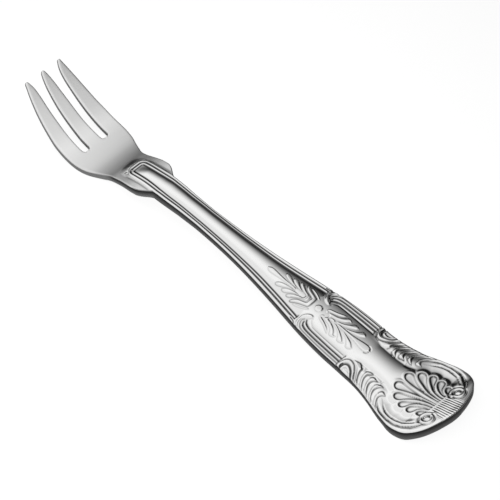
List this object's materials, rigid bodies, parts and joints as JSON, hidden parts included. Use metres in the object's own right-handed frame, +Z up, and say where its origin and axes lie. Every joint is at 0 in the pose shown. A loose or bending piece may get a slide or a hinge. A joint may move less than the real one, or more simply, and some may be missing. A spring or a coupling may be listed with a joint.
{
  "type": "oyster fork",
  "caption": "Slim oyster fork with a short forked head, shoulders behind the neck, threaded shank and a shell-ornamented spatulate handle end.",
  "frame": {"origin": "centre of the bounding box, on the plane that the fork rests on", "axes": "+Z up, +Y along the fork towards the tine tips, +X to the right across the handle"},
  "size_m": [0.0246, 0.142, 0.0143],
  "materials": {
    "steel": "polished stainless steel, satin on the head"
  },
  "bodies": {
    "root": {"fork": "steel"}
  },
  "joints": []
}
